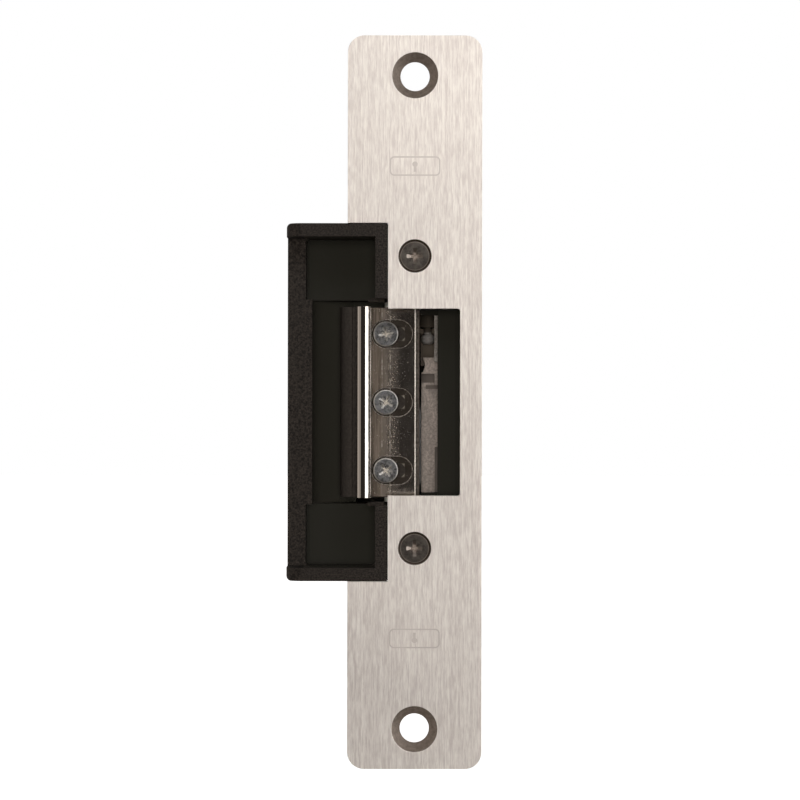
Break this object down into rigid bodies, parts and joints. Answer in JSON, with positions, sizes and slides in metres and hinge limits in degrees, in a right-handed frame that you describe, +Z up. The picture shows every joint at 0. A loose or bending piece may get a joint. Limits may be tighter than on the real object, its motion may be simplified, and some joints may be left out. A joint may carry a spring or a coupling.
{
  "type": "electric door strike",
  "caption": "Mortise electric door strike: flat faceplate, cast housing with a lip, hinged keeper with an adjustable jaw, and a solenoid-driven lock bar behind it",
  "frame": {"origin": "on the faceplate's back face, midway between its two fixing holes", "axes": "+Z up along the faceplate, +Y into the jamb, +X to the right seen from the front; the lip is on the -X side"},
  "size_m": [0.0466, 0.0427, 0.1746],
  "materials": {
    "stainless_plate": "brushed along its length, fine vertical grain",
    "black_casting": "fine-textured black powder coat",
    "black_steel": "smooth satin black",
    "plated_jaw": "bright nickel plating with light tool marks",
    "zinc_screw": "clear zinc plating with a bluish tint",
    "zinc_steel": "zinc-plated sheet steel",
    "zinc_casting": "grey cast metal, satin",
    "black_oxide_steel": "black oxide with worn edges",
    "ground_steel": "ground",
    "plunger_steel": "dull plated soft iron",
    "spring_steel": "drawn wire",
    "nylon": "natural nylon",
    "brass": "drawn brass",
    "copper_winding": "enamelled copper wire under clear tape",
    "black_plastic": "moulded",
    "red_insulation": "soft insulation",
    "black_insulation": "soft insulation"
  },
  "bodies": {
    "frame": {"faceplate": "stainless_plate", "faceplate_screws": "black_oxide_steel", "housing": "black_casting", "back_cover": "zinc_steel", "cover_screws": "zinc_screw", "pivot_shaft": "ground_steel", "bar_retainer": "zinc_steel", "retainer_screws": "zinc_screw", "solenoid_frame": "zinc_steel", "guide_bracket": "zinc_steel", "guide_tube": "brass", "fixed_core": "plunger_steel", "coil_bobbin": "nylon", "coil_winding": "copper_winding", "solenoid_screws": "black_oxide_steel", "supply_socket": "black_plastic", "socket_pins": "brass", "lead_red": "red_insulation", "lead_black": "black_insulation"},
    "keeper": {"keeper_carrier": "black_steel", "keeper_lug": "plunger_steel", "jaw_screws": "zinc_screw", "pivot_bushings": "nylon", "return_spring": "spring_steel"},
    "jaw": {"keeper_jaw": "plated_jaw"},
    "lock": {"lock_bar": "zinc_casting", "plunger": "plunger_steel", "plunger_spring": "spring_steel"}
  },
  "joints": [
    {"name": "keeper_swing", "type": "hinge", "parent": "frame", "child": "keeper", "pos_m": [-0.0035, 0.0155, 0], "axis": [0, 0, -1], "range_deg": [0, 45], "stiffness_Nm_per_rad": 0.03, "springref_deg": -34.38},
    {"name": "jaw_adjust", "type": "slide", "parent": "keeper", "child": "jaw", "axis": [-1, 0, 0], "range_m": [0, 0.003]},
    {"name": "lock_lift", "type": "slide", "parent": "frame", "child": "lock", "axis": [0, 0, 1], "range_m": [0, 0.003], "stiffness_N_per_m": 150, "springref_m": -0.004, "deforming": ["plunger_spring"]}
  ]
}
